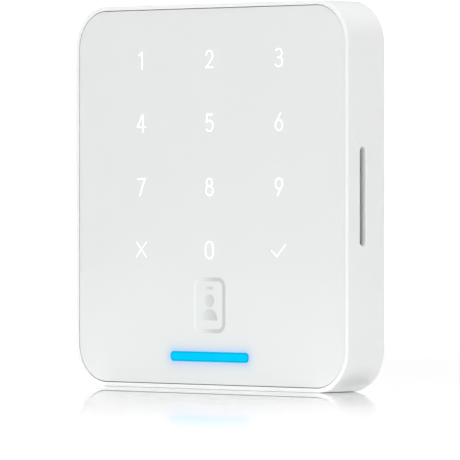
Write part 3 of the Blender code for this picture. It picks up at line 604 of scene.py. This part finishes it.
def lock_notches():
    """Notches in the bottom wall's rear edge for the security screw's shank and, wider, for its head."""
    middle_y = (LOCK_LOW.y + LOCK_HIGH.y) / 2
    shank = (1.6 * MM, WALL + OVERRUN)
    head = (LOCK_HIGH.x + 0.5 * MM, 1.4 * MM)
    roundness = 0.998
    # The rounding at a notch's open end stays outside the case
    past_back = 4 * MM
    notches = []
    for radius, top in (shank, head):
        notch = bmesh.new()
        add_block(notch, (-radius, middle_y - radius, -OVERRUN), (radius, BACK + past_back, top),
                  roundness * radius, 16, axis=2)
        notches.append(notch)
    return notches


def sound_slot():
    """A long round-ended slot through the right wall, its mouth rounded over."""
    half_width = 1.1 * MM
    half_length = 12.6 * MM
    mouth = 0.32 * MM
    mouth_steps = 6
    end_steps = 12
    roundness = 0.9999
    centre_y = (MESH_LOW.y + MESH_HIGH.y) / 2
    wall_x = WIDTH / 2
    levels = [(wall_x + OVERRUN, mouth)]
    for step in range(mouth_steps + 1):
        angle = math.pi / 2 * step / mouth_steps
        levels.append((wall_x - mouth * (1 - math.cos(angle)), mouth * (1 - math.sin(angle))))
    levels.append((wall_x - WALL - OVERRUN, 0.0))
    bm = bmesh.new()
    loops = []
    for x, spread in levels:
        half = half_width + spread
        shape = outline(2 * half, 2 * (half_length + spread), roundness * half, end_steps)
        loops.append(add_loop(bm, [(x, centre_y + u, MIDDLE + w) for u, w in shape]))
    skin(bm, loops)
    bmesh.ops.recalc_face_normals(bm, faces=bm.faces)
    return bm


def make_front_panel():
    width = PANEL_HIGH.x - PANEL_LOW.x + 2 * PANEL_GROWTH
    height = PANEL_HIGH.z - PANEL_LOW.z + 2 * PANEL_GROWTH
    radius = CORNER - (HOUSING_HIGH.x - PANEL_HIGH.x)
    section = [(EDGE, PANEL_HIGH.y), (0.0, PANEL_HIGH.y - EDGE)]
    section += quarter_round((EDGE, PANEL_LOW.y + EDGE), EDGE, 180, 270, 5)
    bm = bmesh.new()
    loft_sections(bm, width, height, radius, section, closed=False)
    panel = object_from("panel_sheet", bm)
    smooth(panel)
    dress(panel, FINISHES["front_panel"], "reader", "front_panel", "front_panel")


def make_light_bar():
    """The lit window of the status bar, a hair proud of the panel, in front of the light guide."""
    corner = 1.1 * MM
    chamfer = 0.03 * MM
    back = PANEL_LOW.y + 0.10 * MM
    shoulder = PANEL_LOW.y - 0.010 * MM
    face = PANEL_LOW.y - 0.025 * MM
    bm = bmesh.new()
    loops = []
    for inset, y in ((0.0, back), (0.0, shoulder), (chamfer, face)):
        shape = outline(BAR_WIDTH - 2 * inset, BAR_HEIGHT - 2 * inset, corner - inset, 10)
        loops.append(add_loop(bm, [(x, y, BAR_MIDDLE + z) for x, z in shape]))
    skin(bm, loops)
    bar = object_from("status_bar_window", bm)
    smooth(bar, weighted=False)
    dress(bar, FINISHES["light_guide"], "reader", "light_guide")


# Legends

def arc(centre, radius_x, radius_z, start, end, steps, power=2.0):
    """Points of an elliptic arc, angles in degrees; a power over 2 squares it off."""
    points = []
    for step in range(steps + 1):
        angle = math.radians(start + (end - start) * step / steps)
        cosine = math.copysign(abs(math.cos(angle)) ** (2 / power), math.cos(angle))
        sine = math.copysign(abs(math.sin(angle)) ** (2 / power), math.sin(angle))
        points.append((centre[0] + radius_x * cosine, centre[1] + radius_z * sine))
    return points


def ring(centre, radius_x, radius_z, steps, power=2.0):
    """Points once round an ellipse, for a line that closes on itself."""
    return arc(centre, radius_x, radius_z, 0, 360, steps, power)[:-1]


def add_stroke(bm, points, width, centre, closed=False):
    """A flat ribbon of even width along points in millimetres, on the panel's face, with square ends."""
    y_front = PANEL_LOW.y - LEGEND_PROUD
    y_back = PANEL_LOW.y + LEGEND_SUNK
    sharpest = 0.35
    points = [Vector(p) * MM for p in points]
    count = len(points)
    rails = ([], [])
    for i, point in enumerate(points):
        before = points[i - 1] if i or closed else None
        after = points[(i + 1) % count] if i + 1 < count or closed else None
        into = (point - before).normalized() if before is not None else (after - point).normalized()
        out = (after - point).normalized() if after is not None else into
        across = Vector((-(into + out).y, (into + out).x)).normalized()
        reach = width / 2 / max(sharpest, across.dot(Vector((-into.y, into.x))))
        for rail, side in zip(rails, (1, -1)):
            place = point + across * reach * side
            x = centre[0] + place.x
            z = centre[1] + place.y
            rail.append([bm.verts.new((x, y, z)) for y in (y_front, y_back)])
    last = count if closed else count - 1
    for i in range(last):
        j = (i + 1) % count
        (a_front, a_back), (b_front, b_back) = rails[0][i], rails[0][j]
        (c_front, c_back), (d_front, d_back) = rails[1][i], rails[1][j]
        bm.faces.new((a_front, b_front, d_front, c_front))
        bm.faces.new((a_back, c_back, d_back, b_back))
        bm.faces.new((a_front, a_back, b_back, b_front))
        bm.faces.new((c_front, d_front, d_back, c_back))
    if not closed:
        for i in (0, count - 1):
            bm.faces.new((rails[0][i][0], rails[1][i][0], rails[1][i][1], rails[0][i][1]))


def stroked_object(name, strokes, centre):
    """One solid from strokes, each given as its points, its width and whether it closes on itself."""
    solid = None
    for points, width, closed in strokes:
        bm = bmesh.new()
        add_stroke(bm, points, width, centre, closed)
        if solid is None:
            solid = object_from(name, bm)
        else:
            combine(solid, bm, "UNION")
    return solid


def glyphs():
    """Centre lines of each legend in millimetres about its middle, and whether a line closes on itself."""
    top, bottom = 2.20, -2.20
    end = 2.48
    six = [([(0.72, end), (-1.18, -0.20)], False), (ring((0.0, -0.87), 1.46, 1.40, 36), True)]
    nine = [([(-x, -z) for x, z in line], closed) for line, closed in six]
    return {
        "1": [([(-1.32, 1.28), (0.18, 2.20)], False), ([(0.32, end), (0.32, -end)], False)],
        "2": [(arc((0.0, 0.95), 1.40, 1.32, 178, -28, 24) + [(-1.28, bottom)], False),
              ([(-1.66, bottom), (1.70, bottom)], False)],
        "3": [(arc((-0.20, 1.20), 1.37, 1.14, 150, -90, 24), False),
              (arc((-0.20, -1.14), 1.60, 1.22, 90, -154, 24), False),
              ([(-0.68, 0.07), (-0.15, 0.07)], False)],
        "4": [([(0.50, 2.42), (-1.76, -1.0)], False), ([(-1.98, -0.98), (2.02, -0.98)], False),
              ([(0.62, end), (0.62, -end)], False)],
        "5": [([(-1.20, top), (1.42, top)], False), ([(-0.93, end), (-1.22, 0.05)], False),
              (arc((-0.05, -0.87), 1.52, 1.42, 142, -152, 26), False)],
        "6": six,
        "7": [([(-1.78, top), (1.76, top)], False), ([(1.52, end - 0.05), (-0.72, -end)], False)],
        "8": [(ring((0.0, 1.21), 1.20, 1.06, 32), True),
              (ring((0.0, -1.03), 1.48, 1.24, 36), True)],
        "9": nine,
        "0": [(ring((0.0, 0.0), 1.63, 2.27, 40, 2.35), True)],
        "cancel": [([(-2.08, 2.05), (2.08, -2.05)], False), ([(-2.08, -2.05), (2.08, 2.05)], False)],
        "confirm": [([(-3.0, 0.10), (-0.87, -1.54), (2.74, 1.82)], False)],
    }


def make_legends():
    order = ("1", "2", "3", "4", "5", "6", "7", "8", "9", "cancel", "0", "confirm")
    shapes = glyphs()
    for index, name in enumerate(order):
        row, column = divmod(index, 3)
        centre = ((column - 1) * KEY_PITCH_X, MIDDLE + KEY_ROWS[row])
        stroke, scale = (DIGIT_STROKE, DIGIT_SCALE) if name.isdigit() else (SIGN_STROKE, SIGN_SCALE)
        strokes = []
        for line, closed in shapes[name]:
            strokes.append(([(x * scale[0], z * scale[1]) for x, z in line], stroke, closed))
        legend = stroked_object(f"legend_{name}", strokes, centre)
        tidy_mesh(legend, 0.1)
        dress(legend, FINISHES["legend"], "reader", "front_panel")


def make_badge_mark():
    """A plain pictogram of an identity badge: a card with a cord slot, and a head and shoulders on it."""
    centre = (0.0, MIDDLE - 28.2 * MM)
    card = outline(10.4, 13.4, 2.0, 8)
    cord_slot = [(-1.25, 4.45), (1.25, 4.45)]
    head = ring((0.0, 1.15), 0.85, 0.85, 32)
    shoulders = arc((0.0, -3.95), 2.25, 2.35, 0, 180, 32)
    chest = [(-1.9, -3.05), (1.9, -3.05)]
    strokes = (
        (card, 1.05 * MM, True),
        (cord_slot, 0.8 * MM, False),
        (head, 1.69 * MM, True),
        (shoulders, 1.3 * MM, False),
        (chest, 1.8 * MM, False),
    )
    mark = stroked_object("badge_mark", strokes, centre)
    dress(mark, FINISHES["badge"], "reader", "front_panel")


# CAD nodes: carried over with a finish, or as a finer copy

def make_fine_copies():
    """Copies of CAD pieces with their flat areas joined and their edges rounded, widths in millimetres."""
    widths = {
        "wall_plate": 0.18, "rear_cover": 0.18, "port_seal": 0.2, "cable_socket": 0.1,
        "security_screw": 0.08, "tamper_plunger": 0.06, "reset_button": 0.08, "speaker_frame": 0.12,
        "processor_shield": 0.06, "bluetooth_module": 0.06, "poe_transformer": 0.06, "power_inductor": 0.06,
        "reset_switch": 0.1, "tamper_switch": 0.1, "speaker_magnet": 0.05,
    }
    for node, width in widths.items():
        piece = copy_of(node, f"{node}_fine")
        tidy_mesh(piece)
        soften(piece, width * MM)
        smooth(piece)
        dress(piece, FINISHES[slot_of(node)], body_of(node), slot_of(node), node)


def make_spring():
    """A smooth-shaded copy of the tamper spring, on the body the spring belongs to, with a mesh of its own.
    """
    spring = copy_of("tamper_spring", "tamper_spring_coil")
    smooth(spring, 60, weighted=False)
    dress(spring, FINISHES["steel"], body_of("tamper_spring"), "steel", "tamper_spring")
    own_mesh(spring)


def finish_other_nodes():
    for node, obj in frame["nodes"].items():
        if obj.hide_render:
            continue
        obj.data.materials.clear()
        obj.data.materials.append(FINISHES[slot_of(node)])


# Floor, light and camera

def make_floor():
    half_size = 60.0
    bm = bmesh.new()
    bmesh.ops.create_grid(bm, x_segments=2, y_segments=2, size=half_size)
    floor = object_from("table_top", bm)
    floor.data.materials.append(floor_finish())


def floor_finish():
    """White table top, glossy at a low angle near the object."""
    finish = Finish("table_white", (0.88, 0.88, 0.88), 0.7, Specular_IOR_Level=0.0)
    finish.mottle(0.4, 0.002)
    finish.shader.inputs["Emission Color"].default_value = (1.0, 1.0, 1.0, 1.0)
    finish.links.new(floor_glow(finish), finish.shader.inputs["Emission Strength"])
    gloss = finish.nodes.new("ShaderNodeBsdfGlossy")
    gloss.inputs["Color"].default_value = (0.93, 0.93, 0.93, 1.0)
    gloss.inputs["Roughness"].default_value = 0.02
    blend = finish.nodes.new("ShaderNodeMixShader")
    finish.links.new(gloss_share(finish), blend.inputs[0])
    finish.links.new(finish.shader.outputs[0], blend.inputs[1])
    finish.links.new(gloss.outputs[0], blend.inputs[2])
    finish.links.new(blend.outputs[0], finish.nodes["Material Output"].inputs["Surface"])
    return finish.material


def floor_glow(finish):
    """Makes up for what the top lamp loses with distance, and adds a little everywhere."""
    make_up = 0.80
    everywhere = 0.03
    height_squared = TOP_LAMP_HEIGHT ** 2
    away_squared = finish.nodes.new("ShaderNodeVectorMath")
    away_squared.operation = "DOT_PRODUCT"
    for socket in away_squared.inputs[:2]:
        finish.links.new(finish.place, socket)
    slant_squared = finish.math("ADD", away_squared.outputs["Value"], height_squared)
    share = finish.math("DIVIDE", height_squared, slant_squared)
    loss = finish.math("SUBTRACT", 1.0, finish.math("MULTIPLY", share, share))
    return finish.math("ADD", finish.math("MULTIPLY", loss, make_up), everywhere)


def gloss_share(finish):
    """More gloss at a lower angle, and less of it away from the object, soonest to its sides."""
    index_of_refraction = 1.6
    gain = 1.25
    reach = 0.160
    sideways = 2.0
    aside = finish.math("MULTIPLY", finish.beyond(finish.axis("X"), WIDTH / 2), sideways)
    fade = finish.fall_off(finish.diagonal(aside, finish.axis("Y")), reach)
    fresnel = finish.nodes.new("ShaderNodeFresnel")
    fresnel.inputs["IOR"].default_value = index_of_refraction
    return finish.math("MULTIPLY", fade, finish.math("MULTIPLY", fresnel.outputs["Fac"], gain), clamp=True)


def make_world():
    """A white room, brightest at the horizon."""
    world = bpy.data.worlds.new("white_room")
    world.use_nodes = True
    nodes = world.node_tree.nodes
    links = world.node_tree.links
    split = nodes.new("ShaderNodeSeparateXYZ")
    links.new(nodes.new("ShaderNodeTexCoord").outputs["Generated"], split.inputs["Vector"])
    fall = nodes.new("ShaderNodeMapRange")
    fall.interpolation_type = "SMOOTHSTEP"
    fall.inputs["From Min"].default_value = 0.10
    fall.inputs["From Max"].default_value = 0.45
    fall.inputs["To Min"].default_value = 1.08
    fall.inputs["To Max"].default_value = 0.35
    links.new(split.outputs["Z"], fall.inputs["Value"])
    links.new(fall.outputs["Result"], nodes["Background"].inputs["Strength"])
    nodes["Background"].inputs["Color"].default_value = (1.0, 1.0, 1.0, 1.0)
    bpy.context.scene.world = world


def area_light(name, place, target, size, power):
    light = bpy.data.lights.new(name, "AREA")
    light.shape = "RECTANGLE"
    light.size, light.size_y = size
    light.energy = power
    lamp = link(bpy.data.objects.new(name, light))
    lamp.location = place
    lamp.rotation_euler = (Vector(target) - Vector(place)).to_track_quat("-Z", "Y").to_euler()
    lamp.visible_camera = False
    return lamp


def make_lights():
    """A soft key from the front right, a soft top lamp, and the light that the table's sheen sends up."""
    area_light("key_softbox", place=(0.60, -1.12, 0.34), target=(0.0, 0.0, MIDDLE),
               size=(0.5, 0.5), power=5.35)
    area_light("top_softbox", place=(0.0, 0.0, TOP_LAMP_HEIGHT), target=(0.0, 0.0, 0.0),
               size=(0.6, 0.6), power=13.4)
    # At each side, one strip is under the rounded lower corner and one is out on the table
    for name, side in (("right", (1, 0)), ("left", (-1, 0))):
        add_floor_glow(f"{name}_under", side, start=-11 * MM, depth=7 * MM, radiance=0.38)
        add_floor_glow(name, side, start=18 * MM, depth=90 * MM, radiance=0.12)
    for name, side in (("front", (0, -1)), ("back", (0, 1))):
        add_floor_glow(name, side, start=0.5 * MM, depth=60 * MM, radiance=0.40)


def add_floor_glow(name, side, start, depth, radiance):
    """A strip on the table, facing up, starting the given distance out from the object's side or face."""
    length = 160 * MM
    above_table = 0.1 * MM
    away = (WIDTH / 2 if side[0] else BACK) + start + depth / 2
    size = (depth, length) if side[0] else (length, depth)
    place = Vector((side[0] * away, side[1] * away, above_table))
    power = radiance * math.pi * depth * length
    strip = area_light(f"{name}_glow", place, place + Vector((0.0, 0.0, 1.0)), size, power)
    strip.rotation_euler = (math.pi, 0.0, 0.0)
    strip.visible_glossy = False


def make_camera():
    """Level long-lens view from the right of the front, with the horizon a little above the middle."""
    aim = Vector((3.9 * MM, FRONT + 3.8 * MM, MIDDLE + 0.5 * MM))
    distance = 1.480
    swing = math.radians(43.985)
    pitch = math.radians(0.356)
    back_off = Vector((math.sin(swing), -math.cos(swing), 0.0))
    heading = -back_off * math.cos(pitch) - Vector((0.0, 0.0, math.sin(pitch)))
    data = bpy.data.cameras.new("camera")
    data.sensor_width = 36.0
    data.lens = 446.85
    data.clip_end = 200.0
    camera = link(bpy.data.objects.new("camera", data))
    camera.location = aim + back_off * distance
    camera.rotation_euler = heading.to_track_quat("-Z", "Y").to_euler()
    bpy.context.scene.camera = camera


make_camera()
make_world()
make_lights()
make_floor()
make_housing()
make_front_panel()
make_light_bar()
make_legends()
make_badge_mark()
make_fine_copies()
make_spring()
finish_other_nodes()
bpy.context.scene.view_settings.view_transform = "Standard"
